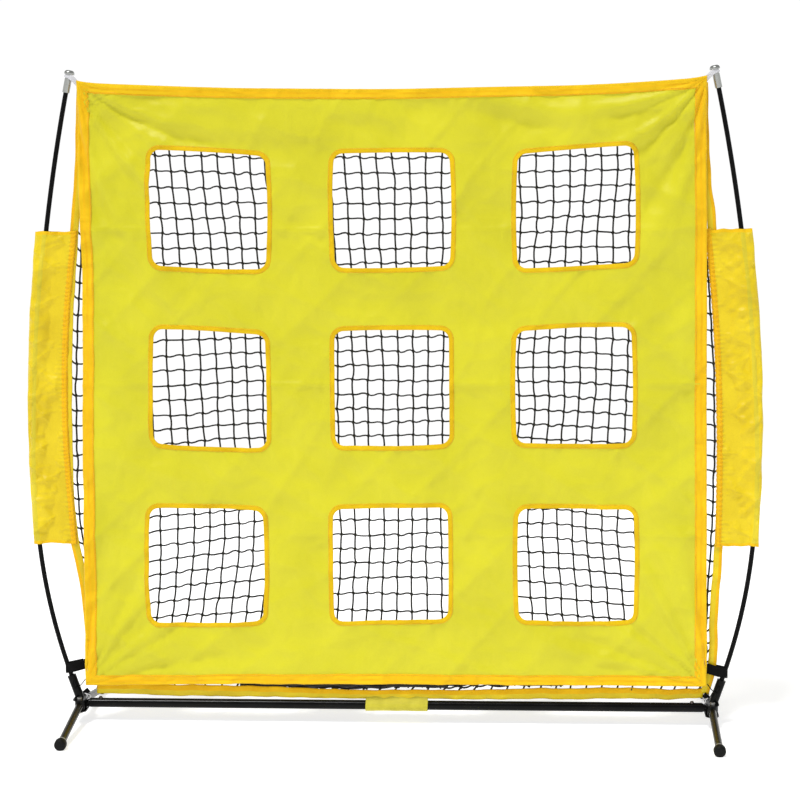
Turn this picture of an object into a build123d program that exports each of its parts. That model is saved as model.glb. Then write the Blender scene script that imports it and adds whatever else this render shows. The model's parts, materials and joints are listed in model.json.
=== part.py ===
"""Pitching target net: a bow-framed ball net with a nine-window target panel.

Millimetres. +X is to the pitcher's right, +Y is away from the pitcher and +Z is up. The origin
is on the floor, below the middle of the base bar. The right-hand side is modelled, and the
left-hand side is its mirror image.
"""
from build123d import *
from math import asin, atan2, cos, degrees, hypot, radians, sin
import os

# ---------------------------------------------------------------- driving dimensions
# base bar: two steel tubes over a middle coupler
BAR_Z = 56.0            # height of the bar's axis
BAR_R = 14.0
BAR_BORE_R = 12.7
BAR_END_X = 908.0
SPIGOT_R = 12.6         # coupler and hub stubs, which slide into the bar
SPIGOT_BORE_R = 11.0
COUPLER_HALF = 75.0

# corner hubs: a core block between two plates that hold the leg pivots
HUB_X = 934.0
HUB_HALF_X = 18.0
CORE_HALF_Y = 15.0
PLATE_T = 3.0
PLATE_GAP = 30.0        # clear height between the plates
PIVOT_Y = 32.0
PLATE_END_R = 20.0
STUB_IN_X = 828.0       # inner end of the stub inside the bar

# pivot bolts
BOLT_R = 4.0
BOLT_HOLE_R = 4.08
BOLT_HEAD_H = 5.5
HEX_R = 7.5
NUT_H = 6.5

# legs
LEG_R = 11.0
LEG_BORE_R = 9.5
FOOT_DROP = 40.0        # fall of the leg's axis from its pivot to its foot
FOOT_RUN = 287.0        # level distance from the pivot to the foot
LEG_START = 17.0        # distances along the leg's axis from the pivot
KNUCKLE_END = 62.0
CAP_START = 277.0
CAP_END = 302.0
LEG_END = 292.0
EYE_R = 14.0
EYE_H = 27.0
CAP_R = 17.5
COLLAR_R = 13.0
COLLAR_L = 12.0

# snap buttons that lock the hubs into the bar
BUTTON_X = 877.0
BUTTON_R = 6.0
BUTTON_HOLE_R = 6.3
BUTTON_STAND = 5.5      # height of the dome above the bar
FLANGE_R = 7.5
FLANGE_Z = (60.0, 63.0)
SPRING_Z = 46.6         # underside of the hairpin spring
SPRING_T = 1.0
SPRING_W = 6.0
SPRING_L = 46.0

# pole sockets and bowed poles
LEAN = 19.0             # degrees from upright
SOCKET_R = 13.0
SOCKET_BORE_R = 11.5
SOCKET_TOP_Z = 136.0
SOCKET_TOP_X = 962.0
BUSHING_RIM = 3.0       # height of the bushing's rim above the socket
POLE_R = 7.0
POLE_BORE_R = 3.5
CORD_R = 2.0
POLE_FOOT_Z = 84.0
POLE_MAX_X = 1056.0     # where the pole stands upright
UPPER_BOW_R = 5705.0
MIDDLE_TOP_Z = 1268.0
POLE_TOP_Z = 1890.0
FERRULE_R = 8.5
FERRULE_HALF = 30.0

# pole tips: a metal tube, a neck for the corner loop and a domed head
TIP_R = 10.5
TIP_BORE_R = 7.15
NECK_R = 7.5
TIP_NECK = (11.0, 23.0)  # distances past the pole's end
HEAD_R = 15.0
HEAD_H = 12.0
TIP_LAP = 30.0          # length of the tube over the pole

# target panel
PANEL_TOP_X = 903.0
PANEL_BOTTOM_X = 917.0
PANEL_TOP_Z = 1888.0
PANEL_SAG = 26.0
PANEL_BOTTOM_Z = 119.0
PANEL_Y = (-18.0, -16.0)
PANEL_SPLIT = 0.2            # gap between the panel's strips and uprights
BINDING_W = 32.0
BINDING_T = 1.0
WINDOW_SIDE = 348.0
WINDOW_CORNER_R = 32.0
WINDOW_PITCH = (533.0, 523.0)
WINDOW_ROW_Z = 1001.0
WINDOW_BINDING_W = 11.0

# ball net: a shallow tapered basket behind the panel
RIM_X = 905.0
RIM_Z = (102.0, 1850.0)
RIM_Y = 8.0
BACK_X = 600.0
BACK_Z = (210.0, 1300.0)
BACK_Y = 300.0
NET_T = 4.0             # thickness, measured along Y

# net borders, sleeves, straps and tab
BORDER_Y = (1.0, 4.0)
BORDER_W = 22.0
RIGHT_BORDER = ((893, 1878), (905, 1620), (925, 1460), (957, 900), (951, 548), (938, 310), (935, 180),
                (914, 98))
LEFT_BORDER = ((893, 1878), (907, 1620), (925, 1460), (955, 900), (944, 548), (916, 390), (904, 240),
               (899, 111))
BAND_W = 24.0
BAND_HALF_X = 903.0
BAND_END_Z = 98.0
BAND_SAG = 13.5
TOP_HALF_X = 880.0
TOP_END_Z = 1866.0
TOP_SAG = 21.0
SLEEVE_Z = (538.0, 1460.0)
SLEEVE_OUTER = ((1063, 538), (1073, 880), (1036, 1460))
SLEEVE_INNER = ((939, 538), (948, 900), (916, 1460))
SLEEVE_HALF_Y = 11.0
CLOTH_T = 2.0
STRAP_Z = (148.0, 178.0)    # on the pole
STRAP_R = (7.25, 9.25)
STRAP_MIDDLE = (945.0, 169.5)
STRAP_TURN = 16.0       # degrees, square to the leaning pole
STRAP_L = 56.0
STRAP_Y = (-0.6, 1.0)
TAB_X = (-85.0, 101.0)
TAB_R = (14.2, 16.2)
TAB_TOP_Z = 90.0
LOOP_R = (7.8, 9.8)
LOOP_W = 10.0
LOOP_ANCHOR = (8.0, 10.0)   # arm's end, in from the panel's corner and down from it
PATCH_W = (2.0, 26.0)       # sewn patch, distances from the panel's corner
PATCH_H = (2.0, 34.0)
LOOP_CLEARANCE = 0.2
TIE_X = (917.0, 924.0)
TIE_TOP_Z = 104.0

# ---------------------------------------------------------------- derived values
CORE_Z = (BAR_Z - PLATE_GAP / 2, BAR_Z + PLATE_GAP / 2)
PLATE_TOP = CORE_Z[1] + PLATE_T
PLATE_BOTTOM = CORE_Z[0] - PLATE_T
LEG_SLOPE = degrees(atan2(FOOT_DROP, FOOT_RUN))
BUTTON_TOP = BAR_Z + BAR_R + BUTTON_STAND
LOWER_BOW_R = (POLE_MAX_X - SOCKET_TOP_X) / (1 - cos(radians(LEAN)))
UPRIGHT_Z = SOCKET_TOP_Z + LOWER_BOW_R * sin(radians(LEAN))
TOP_LEAN = degrees(asin((POLE_TOP_Z - UPRIGHT_Z) / UPPER_BOW_R))
POLE_TOP_X = POLE_MAX_X - UPPER_BOW_R * (1 - cos(radians(TOP_LEAN)))

nodes = {}


def add(name, *shapes):
    """Keep one node, made of one or more separate solids."""
    solids = [solid for shape in shapes for solid in shape.solids()]
    nodes[name] = solids[0] if len(solids) == 1 else Compound(children=solids)


def other_side(shape):
    """The mirror image of a right-hand shape."""
    return mirror(shape, about=Plane.YZ)


def add_pair(name, shape):
    """Keep a right-hand shape and its mirror image as two nodes."""
    add(name + "_right", shape)
    add(name + "_left", other_side(shape))


def block(x, y, z):
    """A box from three (low, high) pairs."""
    size = [high - low for low, high in (x, y, z)]
    middle = [(high + low) / 2 for low, high in (x, y, z)]
    return Pos(*middle) * Box(*size)


def rod(plane, radius, start, end, bore=0.0):
    """A round rod or tube along a plane's normal, between two distances from its origin."""
    shape = Circle(radius) - Circle(bore) if bore else Circle(radius)
    return extrude(plane.offset(start) * shape, end - start)


def slab(face_edges, y):
    """A flat piece in the XZ plane, given by its outline, between two values of Y."""
    face = make_face(face_edges)
    return extrude(Pos(0, y[0], 0) * face, y[1] - y[0], dir=(0, 1, 0))


def flat(x, z):
    """A point in the XZ plane."""
    return (x, 0, z)


# ---------------------------------------------------------------- base bar
def base_bar():
    along = Plane(origin=(0, 0, BAR_Z), x_dir=(0, 1, 0), z_dir=(1, 0, 0))
    hole = rod(Plane(origin=(BUTTON_X, 0, BAR_Z)), BUTTON_HOLE_R, 0, 2 * BAR_R)
    add_pair("base_tube", rod(along, BAR_R, 0, BAR_END_X, BAR_BORE_R) - hole)
    add("base_coupler", rod(along, SPIGOT_R, -COUPLER_HALF, COUPLER_HALF, SPIGOT_BORE_R))

    # hub: stub in the bar, core block and two pivot plates with round ends
    core = block((HUB_X - HUB_HALF_X, HUB_X + HUB_HALF_X), (-CORE_HALF_Y, CORE_HALF_Y), CORE_Z)
    stub = rod(along, SPIGOT_R, STUB_IN_X, HUB_X - HUB_HALF_X, SPIGOT_BORE_R) - hole
    hub = core + stub
    for low in (PLATE_BOTTOM, CORE_Z[1]):
        plate = block((HUB_X - PLATE_END_R, HUB_X + PLATE_END_R), (-PIVOT_Y, PIVOT_Y), (low, low + PLATE_T))
        for side in (-1, 1):
            plate += rod(Plane(origin=(HUB_X, side * PIVOT_Y, low)), PLATE_END_R, 0, PLATE_T)
        hub += plate
    for side in (-1, 1):
        hub -= rod(Plane(origin=(HUB_X, side * PIVOT_Y, 0)), BOLT_HOLE_R, 0, 2 * BAR_Z)
    add_pair("corner_hub", hub)


def snap_buttons():
    upright = Plane(origin=(BUTTON_X, 0, 0))
    button = rod(upright, BUTTON_R, FLANGE_Z[1], BUTTON_TOP)
    button = fillet(button.faces().sort_by(Axis.Z)[-1].edges(), BUTTON_R * 0.8)
    button += rod(upright, FLANGE_R, *FLANGE_Z)
    add_pair("snap_button", button)

    # hairpin spring: two leaves joined by a round bend at the inner end
    top = FLANGE_Z[0]
    bend_r = (top - SPRING_Z) / 2
    bend_x = BUTTON_X + FLANGE_R - SPRING_L
    bend = Plane(origin=(bend_x, -SPRING_W / 2, SPRING_Z + bend_r), x_dir=(1, 0, 0), z_dir=(0, 1, 0))
    spring = rod(bend, bend_r, 0, SPRING_W, bend_r - SPRING_T)
    spring -= block((bend_x, bend_x + bend_r), (-SPRING_W, SPRING_W), (SPRING_Z, top))
    leaf_x = (bend_x, BUTTON_X + FLANGE_R)
    leaf_y = (-SPRING_W / 2, SPRING_W / 2)
    spring += block(leaf_x, leaf_y, (SPRING_Z, SPRING_Z + SPRING_T))
    spring += block(leaf_x, leaf_y, (top - SPRING_T, top))
    add_pair("snap_spring", spring)


# ---------------------------------------------------------------- legs
def legs():
    """Front leg of the right-hand side, then its three mirror images."""
    slope = radians(LEG_SLOPE)
    pivot = (HUB_X, -PIVOT_Y, BAR_Z)
    axis = Plane(origin=pivot, x_dir=(1, 0, 0), z_dir=(0, -cos(slope), -sin(slope)))
    tube = rod(axis, LEG_R, LEG_START, LEG_END, LEG_BORE_R)

    eye = rod(Plane(origin=pivot), EYE_R, -EYE_H / 2, EYE_H / 2)
    knuckle = eye + rod(axis, LEG_BORE_R, 0, KNUCKLE_END)
    knuckle -= rod(Plane(origin=pivot), BOLT_HOLE_R, -EYE_H, EYE_H)

    cap = rod(axis, CAP_R, CAP_START, CAP_END)
    rim = cap.edges().filter_by(GeomType.CIRCLE).sort_by(Axis.Y)
    cap = fillet(rim[0], CAP_R * 0.5)
    rim = cap.edges().filter_by(GeomType.CIRCLE).sort_by(Axis.Y)
    cap = fillet(rim[-1], CAP_R * 0.25)
    cap -= rod(axis, LEG_R, CAP_START - 1, LEG_END)
    cap -= block((HUB_X - 2 * CAP_R, HUB_X + 2 * CAP_R), (-2 * FOOT_RUN, 0), (-CAP_R, 0))
    collar = rod(axis, COLLAR_R, CAP_START - COLLAR_L, CAP_START, LEG_R)

    pieces = {"leg_tube": tube, "leg_knuckle": knuckle, "foot_cap": cap, "foot_collar": collar}
    for name, piece in pieces.items():
        add_pair(name + "_front", piece)
        add_pair(name + "_rear", mirror(piece, about=Plane.XZ))

    bolt_axis = Plane(origin=(HUB_X, -PIVOT_Y, 0))
    head = extrude(bolt_axis.offset(PLATE_TOP) * RegularPolygon(HEX_R, 6), BOLT_HEAD_H)
    bolt = head + rod(bolt_axis, BOLT_R, PLATE_BOTTOM - NUT_H, PLATE_TOP)
    nut = extrude(bolt_axis.offset(PLATE_BOTTOM - NUT_H) * (RegularPolygon(HEX_R, 6) - Circle(BOLT_R)), NUT_H)
    for name, piece in (("leg_pivot_bolts", bolt), ("leg_pivot_nuts", nut)):
        right = [piece, mirror(piece, about=Plane.XZ)]
        add(name, *right, *[other_side(shape) for shape in right])


# ---------------------------------------------------------------- bowed poles
def pole_angle(z, bow_r):
    """Angle above level, in degrees, of the pole's point at height z on one of its two arcs."""
    return degrees(asin((z - UPRIGHT_Z) / bow_r))


def pole_arc(bow_r, z_from, z_to, radius, bore):
    """A tube bent along one of the pole's arcs, between two heights."""
    start = radians(pole_angle(z_from, bow_r))
    centre_x = POLE_MAX_X - bow_r
    outward = (cos(start), 0, sin(start))
    section = Plane(origin=(centre_x + bow_r * outward[0], 0, UPRIGHT_Z + bow_r * outward[2]),
                    x_dir=outward, z_dir=(-outward[2], 0, outward[0]))
    ring = Circle(radius) - Circle(bore) if bore else Circle(radius)
    turn = pole_angle(z_to, bow_r) - pole_angle(z_from, bow_r)
    return revolve(section * ring, Axis((centre_x, 0, UPRIGHT_Z), (0, -1, 0)), turn)


def socket_axis():
    """Plane at the top of the right-hand socket, facing up along the pole."""
    lean = radians(LEAN)
    return Plane(origin=(SOCKET_TOP_X, 0, SOCKET_TOP_Z), x_dir=(cos(lean), 0, -sin(lean)),
                 z_dir=(sin(lean), 0, cos(lean)))


def poles():
    axis = socket_axis()
    depth = (SOCKET_TOP_Z - PLATE_TOP) / cos(radians(LEAN))
    longest = depth + SOCKET_R
    below = block((HUB_X - longest, HUB_X + longest), (-longest, longest), (PLATE_TOP - longest, PLATE_TOP))
    add_pair("pole_socket", rod(axis, SOCKET_R, -longest, 0, SOCKET_BORE_R) - below)
    foot = (SOCKET_TOP_Z - POLE_FOOT_Z) / cos(radians(LEAN))
    bushing = rod(axis, SOCKET_BORE_R, -foot, 0, POLE_R) + rod(axis, SOCKET_R, 0, BUSHING_RIM, POLE_R)
    add("socket_bushings", bushing, other_side(bushing))

    lower = rod(axis, POLE_R, -foot, 0, POLE_BORE_R)
    lower += pole_arc(LOWER_BOW_R, SOCKET_TOP_Z, UPRIGHT_Z, POLE_R, POLE_BORE_R)
    add_pair("pole_lower", lower)
    add_pair("pole_middle", pole_arc(UPPER_BOW_R, UPRIGHT_Z, MIDDLE_TOP_Z, POLE_R, POLE_BORE_R))
    add_pair("pole_upper", pole_arc(UPPER_BOW_R, MIDDLE_TOP_Z, POLE_TOP_Z, POLE_R, POLE_BORE_R))
    cord = rod(axis, CORD_R, -foot, 0) + pole_arc(LOWER_BOW_R, SOCKET_TOP_Z, UPRIGHT_Z, CORD_R, 0)
    cord += pole_arc(UPPER_BOW_R, UPRIGHT_Z, POLE_TOP_Z, CORD_R, 0)
    add_pair("shock_cord", cord)

    first = pole_arc(LOWER_BOW_R, UPRIGHT_Z - FERRULE_HALF, UPRIGHT_Z, FERRULE_R, POLE_R)
    first += pole_arc(UPPER_BOW_R, UPRIGHT_Z, UPRIGHT_Z + FERRULE_HALF, FERRULE_R, POLE_R)
    joint = (MIDDLE_TOP_Z - FERRULE_HALF, MIDDLE_TOP_Z + FERRULE_HALF)
    second = pole_arc(UPPER_BOW_R, *joint, FERRULE_R, POLE_R)
    add("pole_ferrules", first, second, other_side(first), other_side(second))


def tip_axis():
    """Plane at the top end of the right-hand pole, facing out along it."""
    lean = radians(TOP_LEAN)
    return Plane(origin=(POLE_TOP_X, 0, POLE_TOP_Z), x_dir=(cos(lean), 0, sin(lean)),
                 z_dir=(-sin(lean), 0, cos(lean)))


def pole_tips():
    axis = tip_axis()
    head = rod(axis, HEAD_R, TIP_NECK[1], TIP_NECK[1] + HEAD_H)
    head = fillet(head.edges().filter_by(GeomType.CIRCLE).sort_by(Axis.Z)[-1], HEAD_H * 0.8)
    tip = rod(axis, TIP_R, -TIP_LAP, TIP_NECK[0]) - rod(axis, TIP_BORE_R, -TIP_LAP, 0)
    tip += rod(axis, NECK_R, *TIP_NECK) + head
    add_pair("pole_tip", tip)

    # webbing loop: a ring round the neck, an arm to the corner and a patch behind the panel
    middle = sum(TIP_NECK) / 2
    ring = rod(axis, LOOP_R[1], middle - LOOP_W / 2, middle + LOOP_W / 2)
    hole = rod(axis, LOOP_R[0], middle - LOOP_W, middle + LOOP_W)
    neck = axis.origin + axis.z_dir * middle - Vector(0, sum(LOOP_R) / 2, 0)
    corner = Vector(PANEL_TOP_X - LOOP_ANCHOR[0], PANEL_Y[1] + CLOTH_T / 2, PANEL_TOP_Z - LOOP_ANCHOR[1])
    reach = corner - neck
    arm = Plane(origin=neck, x_dir=reach.cross(Vector(0, 0, 1)), z_dir=reach)
    strip = extrude(arm * Rectangle(CLOTH_T, LOOP_W), reach.length)
    patch = block((PANEL_TOP_X - PATCH_W[1], PANEL_TOP_X - PATCH_W[0]), (PANEL_Y[1], PANEL_Y[1] + CLOTH_T),
                  (PANEL_TOP_Z - PATCH_H[1], PANEL_TOP_Z - PATCH_H[0]))
    in_front = block((0, SOCKET_TOP_X), (PANEL_Y[0] - LOOP_W, PANEL_Y[1]), (SOCKET_TOP_Z, POLE_TOP_Z + LOOP_W))
    tube = rod(axis, TIP_R + LOOP_CLEARANCE, -2 * TIP_LAP, TIP_NECK[0])
    cap = rod(axis, HEAD_R + LOOP_CLEARANCE, TIP_NECK[1], TIP_NECK[1] + HEAD_H)
    loop = ring + strip + patch - hole - in_front - tube - cap
    add("corner_loops", loop, other_side(loop))


# ---------------------------------------------------------------- target panel
def panel_outline(inset):
    """The panel's edge, drawn in by a margin, with its sagging top."""
    slant = (PANEL_BOTTOM_X - PANEL_TOP_X) / (PANEL_TOP_Z - PANEL_BOTTOM_Z)
    high, low = PANEL_TOP_Z - inset, PANEL_BOTTOM_Z + inset
    top_x = PANEL_TOP_X + slant * inset - inset
    low_x = PANEL_BOTTOM_X - slant * inset - inset
    top = ThreePointArc(flat(-top_x, high), flat(0, high - PANEL_SAG), flat(top_x, high))
    rest = Polyline(flat(top_x, high), flat(low_x, low), flat(-low_x, low), flat(-top_x, high))
    return top + rest


def window(side, corner_r, y):
    """Nine rounded squares, through a range of Y."""
    plane = Plane(origin=(0, y[0], 0), x_dir=(-1, 0, 0), z_dir=(0, 1, 0))
    shapes = []
    for column in (-1, 0, 1):
        for row in (-1, 0, 1):
            centre = Pos(column * WINDOW_PITCH[0], WINDOW_ROW_Z + row * WINDOW_PITCH[1])
            shapes.append(extrude(plane * centre * RectangleRounded(side, side, corner_r), y[1] - y[0]))
    return shapes


def target_panel():
    """The panel cloth, laid out as full-width strips and short uprights that part round the openings."""
    panel = slab(panel_outline(0), PANEL_Y)
    for opening in window(WINDOW_SIDE, WINDOW_CORNER_R, (PANEL_Y[0] - 1, PANEL_Y[1] + 1)):
        panel -= opening
    edge, straight = WINDOW_SIDE / 2, WINDOW_SIDE / 2 - WINDOW_CORNER_R
    for row in (-1, 0, 1):
        for level in (-edge, -straight, straight, edge):
            height = WINDOW_ROW_Z + row * WINDOW_PITCH[1] + level
            panel -= Pos(0, PANEL_Y[0], height) * Box(3 * PANEL_BOTTOM_X, 4 * BINDING_T, PANEL_SPLIT)
    add("target_panel", *panel.solids())

    front = (PANEL_Y[0] - BINDING_T, PANEL_Y[0])
    add("panel_binding", slab(panel_outline(0), front) - slab(panel_outline(BINDING_W), front))
    outer = window(WINDOW_SIDE + 2 * WINDOW_BINDING_W, WINDOW_CORNER_R + WINDOW_BINDING_W, front)
    inner = window(WINDOW_SIDE, WINDOW_CORNER_R, front)
    add("window_bindings", *[whole - hole for whole, hole in zip(outer, inner)])


# ---------------------------------------------------------------- ball net and its borders
def net_facet(*corners):
    """One flat facet of the net, from its rear corners, with its thickness along Y."""
    face = make_face(Polyline(*corners, close=True))
    return extrude(face, NET_T, dir=(0, -1, 0))


def ball_net():
    def rim(side, level):
        return (side * RIM_X, RIM_Y, RIM_Z[level])

    def back(side, level):
        return (side * BACK_X, BACK_Y, BACK_Z[level])

    add("net_back", net_facet(back(-1, 0), back(1, 0), back(1, 1), back(-1, 1)))
    add("net_top", net_facet(rim(-1, 1), rim(1, 1), back(1, 1), back(-1, 1)))
    add("net_bottom", net_facet(rim(-1, 0), rim(1, 0), back(1, 0), back(-1, 0)))
    add_pair("net_side", net_facet(rim(1, 0), rim(1, 1), back(1, 1), back(1, 0)))


def sagging_strip(half_x, end_z, sag, width):
    """A level strip, hanging a little at its middle."""
    edges = [ThreePointArc(flat(-half_x, z), flat(0, z - sag), flat(half_x, z))
             for z in (end_z - width / 2, end_z + width / 2)]
    ends = [Line(edges[0] @ 0, edges[1] @ 0), Line(edges[0] @ 1, edges[1] @ 1)]
    return slab(edges + ends, BORDER_Y)


def net_borders():
    add("net_border_top", sagging_strip(TOP_HALF_X, TOP_END_Z, TOP_SAG, BAND_W))
    add("net_border_bottom", sagging_strip(BAND_HALF_X, BAND_END_Z, BAND_SAG, BAND_W))
    for name, side, line in (("right", 1, RIGHT_BORDER), ("left", -1, LEFT_BORDER)):
        edges = [Spline(*[flat(side * (x + shift), z) for x, z in line])
                 for shift in (-BORDER_W / 2, BORDER_W / 2)]
        ends = [Line(edges[0] @ 0, edges[1] @ 0), Line(edges[0] @ 1, edges[1] @ 1)]
        add("net_border_" + name, slab(edges + ends, BORDER_Y))


def side_sleeves():
    """A flat sock round the pole, open at its top, its bottom and along the net's border."""
    def sock(shrink, half_y):
        outer = ThreePointArc(*[flat(x - shrink, z) for x, z in SLEEVE_OUTER])
        inner = ThreePointArc(*[flat(x, z) for x, z in SLEEVE_INNER])
        ends = [Line(outer @ 0, inner @ 0), Line(outer @ 1, inner @ 1)]
        return slab([outer, inner] + ends, (-half_y, half_y))

    add_pair("side_sleeve", sock(0, SLEEVE_HALF_Y) - sock(CLOTH_T, SLEEVE_HALF_Y - CLOTH_T))


def straps_and_ties():
    middle_x, middle_z = STRAP_MIDDLE
    flat_part = Box(STRAP_L, STRAP_Y[1] - STRAP_Y[0], STRAP_Z[1] - STRAP_Z[0])
    flat_part = Pos(middle_x, sum(STRAP_Y) / 2, middle_z) * Rot(0, STRAP_TURN, 0) * flat_part
    band = pole_arc(LOWER_BOW_R, *STRAP_Z, STRAP_R[1], 0) + flat_part
    strap = band - pole_arc(LOWER_BOW_R, SOCKET_TOP_Z, UPRIGHT_Z, STRAP_R[0], 0)
    add("side_straps", strap, other_side(strap))

    along = Plane(origin=(0, 0, BAR_Z), x_dir=(0, 1, 0), z_dir=(1, 0, 0))
    half_t = CLOTH_T / 2
    wrap = rod(along, TAB_R[1], *TAB_X) + block(TAB_X, (-half_t, half_t), (BAR_Z, TAB_TOP_Z))
    add("base_tab", wrap - rod(along, TAB_R[0], *TAB_X))

    tie = block(TIE_X, (-half_t, half_t), (PLATE_TOP, TIE_TOP_Z))
    add("corner_ties", tie, other_side(tie))


base_bar()
snap_buttons()
legs()
poles()
pole_tips()
target_panel()
ball_net()
net_borders()
side_sleeves()
straps_and_ties()

os.makedirs("parts", exist_ok=True)
for node_name, node_shape in nodes.items():
    export_step(node_shape, f"parts/{node_name}.step")
print(len(nodes), "nodes")
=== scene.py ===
"""Looks of the pitching target net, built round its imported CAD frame. Metres, +Z up."""
import json
import math

import bpy
import numpy as np
from mathutils import Matrix, Vector


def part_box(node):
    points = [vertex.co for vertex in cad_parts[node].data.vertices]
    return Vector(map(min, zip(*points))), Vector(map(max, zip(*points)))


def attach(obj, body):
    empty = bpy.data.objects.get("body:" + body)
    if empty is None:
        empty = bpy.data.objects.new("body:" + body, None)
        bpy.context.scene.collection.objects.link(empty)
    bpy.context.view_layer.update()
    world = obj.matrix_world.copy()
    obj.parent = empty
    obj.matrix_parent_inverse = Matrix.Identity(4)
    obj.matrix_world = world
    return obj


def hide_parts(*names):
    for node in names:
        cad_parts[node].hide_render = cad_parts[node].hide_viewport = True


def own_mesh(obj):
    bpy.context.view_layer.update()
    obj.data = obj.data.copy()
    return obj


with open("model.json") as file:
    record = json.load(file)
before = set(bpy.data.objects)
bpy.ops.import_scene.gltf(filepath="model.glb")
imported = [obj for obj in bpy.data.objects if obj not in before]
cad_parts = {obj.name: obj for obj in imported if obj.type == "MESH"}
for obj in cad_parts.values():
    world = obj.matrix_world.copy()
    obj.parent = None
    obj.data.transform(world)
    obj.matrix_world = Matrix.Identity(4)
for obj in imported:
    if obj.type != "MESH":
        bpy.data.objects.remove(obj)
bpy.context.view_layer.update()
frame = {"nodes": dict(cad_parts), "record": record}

# ---------------------------------------------------------------- camera
CAMERA_AT = (0.419, -6.579, 1.809)
CAMERA_YAW, CAMERA_PITCH, CAMERA_ROLL = 3.437, 7.284, -0.399    # degrees
CAMERA_LENS = 102.7

# ---------------------------------------------------------------- sizes taken from the frame
PANEL_LOW, PANEL_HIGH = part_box("target_panel")
PANEL_HALF = PANEL_HIGH.x
PANEL_TALL = PANEL_HIGH.z - PANEL_LOW.z
PANEL_Y = (PANEL_LOW.y + PANEL_HIGH.y) / 2
BAR_LOW, BAR_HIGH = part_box("base_tube_right")
BAR_Z = (BAR_LOW.z + BAR_HIGH.z) / 2
BAR_R = (BAR_HIGH.z - BAR_LOW.z) / 2
TAB_LOW, TAB_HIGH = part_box("base_tab")

# ---------------------------------------------------------------- target panel
PANEL_NARROWING = 0.016     # share of the width lost from the bottom hem to the top
PANEL_SAG = 0.023
HEM_TILT = 0.0065           # how much the bottom hem rises to one side and falls to the other
HEM_ARCH = 0.004            # how much the middle of the bottom hem rides up
LEFT_BOW = 0.008            # inward curve of the left edge
CORNER_LIFT = 0.007         # how far the loops draw the top corners up
CLOTH_T = 0.0007
WINDOW_HALF = 0.1690
WINDOW_CORNER = 0.027
WINDOW_PITCH = (0.538, 0.523)
WINDOW_ROW = 0.881          # height of the middle row above the bottom hem
BINDING_W = 0.0345          # perimeter binding down the sides
HEM_W = 0.0305              # and along the top and bottom
HEM_STRIPS = 12             # lengthwise strips of the perimeter binding
HEM_PAINTED_SHADE = (4, 5, 9, 10)    # its strips painted darker: painted shade across the fold and along the inner seam
WINDOW_BINDING_W = 0.0122
FOLD_HEIGHTS = (0.452, 0.896, 1.348)    # storage folds above the bottom hem
# folds fanning out of each corner: side, whether at the top, height, reach, number
CORNER_FOLDS = ((-1, 1, 0.0080, 0.75, 19), (1, 1, 0.0080, 0.75, 17), (-1, 0, 0.0055, 0.50, 21),
                (1, 0, 0.0060, 0.55, 23))
# each window as sewn, by column and row: shift across, shift up, slope of its top, slope of its
# bottom, bow of its sides and bow of its top, in millimetres
WINDOWS = {(-1, 1): (5, 3, -12, -9, 7, 4), (0, 1): (6, 4, 0, 4, 6, 3), (1, 1): (1, 6, 12, 12, 4, 3),
           (-1, 0): (1, 2, -11, -7, 2, 3), (0, 0): (2, 5, 2, 6, 2, 4), (1, 0): (-5, 9, 8, 1, 4, 4),
           (-1, -1): (-13, 1, -4, 4, 5, 3), (0, -1): (-5, 5, 4, 6, 3, 2), (1, -1): (0, 4, 0, -1, 4, 3)}

# ---------------------------------------------------------------- ball net
TWINE_R = 0.0029
KNOT_R = 0.0054
NET_ROWS = 42
NET_SIDE = 20               # columns on each side of the middle one
# the middle line of the hanging net: row, depth, height
NET_LINE = ((0, 0.006, 0.096), (1, 0.016, 0.108), (2, 0.034, 0.112), (3, 0.062, 0.108), (4, 0.095, 0.150),
            (7, 0.185, 0.300), (15, 0.275, 0.650), (23.5, 0.300, 1.010), (31.3, 0.268, 1.360),
            (42, 0.008, 1.848))
HEM_SLANT = 0.009           # how far the lowest strands lean to the side
# how much higher the net's sides hang than its middle line: row, rise
NET_EDGE_RISE = ((0, 0.012), (3, 0.050), (7, -0.020), (15, -0.030), (23, -0.012), (30, 0.008), (42, 0.021))
# height, width of a mesh
NET_MESH = ((0.10, 0.0472), (0.30, 0.0455), (0.48, 0.0441), (0.65, 0.0441), (0.84, 0.0454), (1.36, 0.0463),
            (1.70, 0.0468), (1.86, 0.0466))
# strands heaped behind the bottom hem, in order from the front: from x, to x, height, radius
BUNCH = ((-0.46, 0.16, 0.1110, 0.0050), (-0.40, 0.02, 0.1055, 0.0044), (-0.34, 0.50, 0.1140, 0.0036),
         (-0.36, 0.10, 0.1010, 0.0032), (-0.38, -0.02, 0.1130, 0.0042), (-0.20, 0.62, 0.1155, 0.0028),
         (-0.30, 0.06, 0.1085, 0.0040))
# side borders: height, distance from the middle
BORDERS = {1: ((0.098, 0.914), (0.180, 0.935), (0.310, 0.938), (0.548, 0.951), (0.900, 0.957), (1.460, 0.923),
               (1.620, 0.904), (1.878, 0.893)),
           -1: ((0.111, 0.899), (0.240, 0.904), (0.390, 0.916), (0.548, 0.944), (0.900, 0.955),
                (1.460, 0.922), (1.620, 0.905), (1.878, 0.893))}
BORDER_W = 0.025
TOP_BORDER_W = 0.024
BORDER_Y = 0.0025           # the border strips lie this far behind the bar's middle
BORDER_STEPS = 260
BAND_STEPS = 300
BAND_ENDS = (-0.888, 0.910)
BAND_FOOT, BAND_RISE = 0.0745, 0.0090       # height of its lower edge in the middle, rise to its ends
EDGE_ROPE = 0.008           # distance of the outermost strand from its border
SIDES = ((1, "right"), (-1, "left"))

rng = np.random.default_rng(7)


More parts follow.
